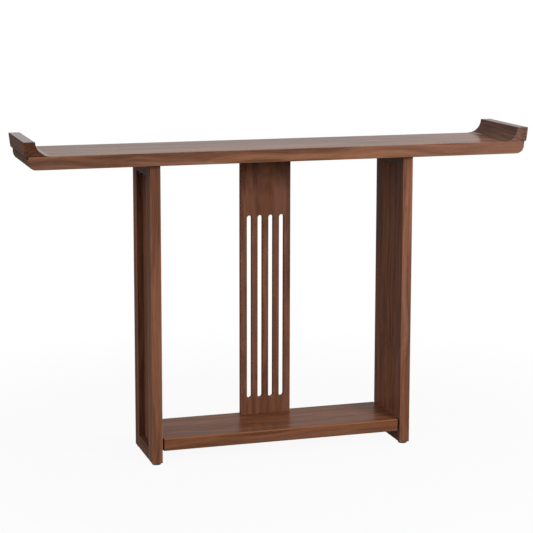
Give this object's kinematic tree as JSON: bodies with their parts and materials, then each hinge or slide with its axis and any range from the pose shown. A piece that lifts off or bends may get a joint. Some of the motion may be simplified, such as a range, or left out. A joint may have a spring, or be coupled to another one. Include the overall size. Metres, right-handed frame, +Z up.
{
  "type": "altar table",
  "caption": "Long narrow walnut altar table with upturned end flanges, open framed legs, a low shelf and a slotted back panel.",
  "frame": {"origin": "on the floor, under the middle of the top", "axes": "+X along the length of the top, to the right seen from the front; -Y the front; +Z up"},
  "size_m": [1.3494, 0.24, 0.85],
  "materials": {
    "walnut_top": "satin lacquer, grain along the length",
    "walnut_leg": "satin lacquer, upright grain",
    "walnut_shelf": "satin lacquer, grain along the length",
    "walnut_slat_panel": "satin lacquer, upright grain",
    "beech": "raw turned beech",
    "zinc_plated_steel": "bright zinc plate",
    "cam_metal": "die-cast zinc",
    "brass": "turned brass",
    "glide_plastic": "moulded black plastic"
  },
  "bodies": {
    "root": {"top_board": "walnut_top", "left_flange": "walnut_top", "right_flange": "walnut_top", "left_front_stile": "walnut_leg", "left_rear_stile": "walnut_leg", "left_bottom_rail": "walnut_leg", "left_top_rail": "walnut_leg", "left_side_panel": "walnut_leg", "right_front_stile": "walnut_leg", "right_rear_stile": "walnut_leg", "right_bottom_rail": "walnut_leg", "right_top_rail": "walnut_leg", "right_side_panel": "walnut_leg", "shelf": "walnut_shelf", "slat_panel": "walnut_slat_panel", "left_flange_dowels": "beech", "left_top_dowels": "beech", "left_shelf_dowels": "beech", "left_top_bolts": "zinc_plated_steel", "left_bolt_washers": "zinc_plated_steel", "left_cam_bolts": "zinc_plated_steel", "left_cam_discs": "cam_metal", "left_threaded_inserts": "brass", "right_flange_dowels": "beech", "right_top_dowels": "beech", "right_shelf_dowels": "beech", "right_top_bolts": "zinc_plated_steel", "right_bolt_washers": "zinc_plated_steel", "right_cam_bolts": "zinc_plated_steel", "right_cam_discs": "cam_metal", "right_threaded_inserts": "brass", "slat_panel_head_dowels": "beech", "slat_panel_foot_dowels": "beech", "slat_panel_screws": "zinc_plated_steel", "glide_nails": "zinc_plated_steel", "left_front_glide": "glide_plastic", "left_rear_glide": "glide_plastic", "right_front_glide": "glide_plastic", "right_rear_glide": "glide_plastic"}
  },
  "joints": []
}
